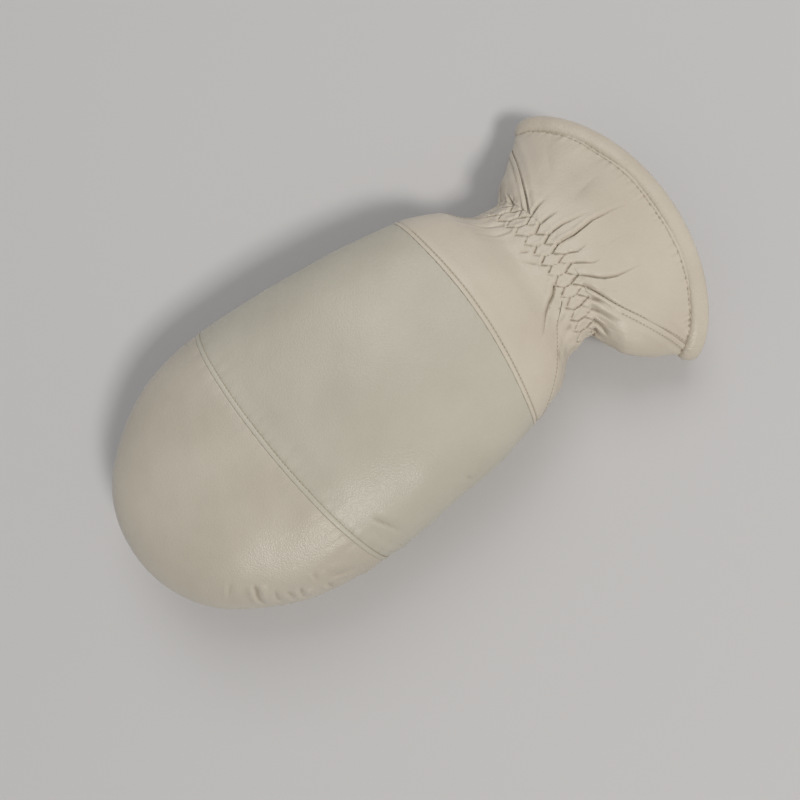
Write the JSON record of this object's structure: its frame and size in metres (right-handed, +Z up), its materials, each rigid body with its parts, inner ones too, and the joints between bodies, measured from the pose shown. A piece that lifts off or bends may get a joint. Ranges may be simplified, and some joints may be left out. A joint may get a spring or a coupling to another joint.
{
  "type": "sheepskin mitten",
  "caption": "Leather mitten with a dark sheepskin lining, gathered fingertips, shirred elastic wrist and flared bound cuff.",
  "frame": {"origin": "bottom centre of the mitten's box, on the surface that it lies on, palm down", "axes": "+Z up, towards the back of the hand; +X along the hand, from the fingertips to the cuff; the thumb is on the -Y side, folded under the palm"},
  "size_m": [0.2939, 0.1403, 0.0751],
  "materials": {
    "cream_leather": "smooth nappa with a soft sheen",
    "dark_fur": "curly sheepskin pile"
  },
  "bodies": {
    "root": {"fingertip_panel": "cream_leather", "knuckle_panel": "cream_leather", "wrist_panel": "cream_leather", "palm_panel": "cream_leather", "thumb": "cream_leather", "elastic_wrist": "cream_leather", "cuff_back": "cream_leather", "cuff_palm_far_side": "cream_leather", "cuff_palm_thumb_side": "cream_leather", "hem_binding": "cream_leather", "fur_lining": "dark_fur"}
  },
  "joints": []
}
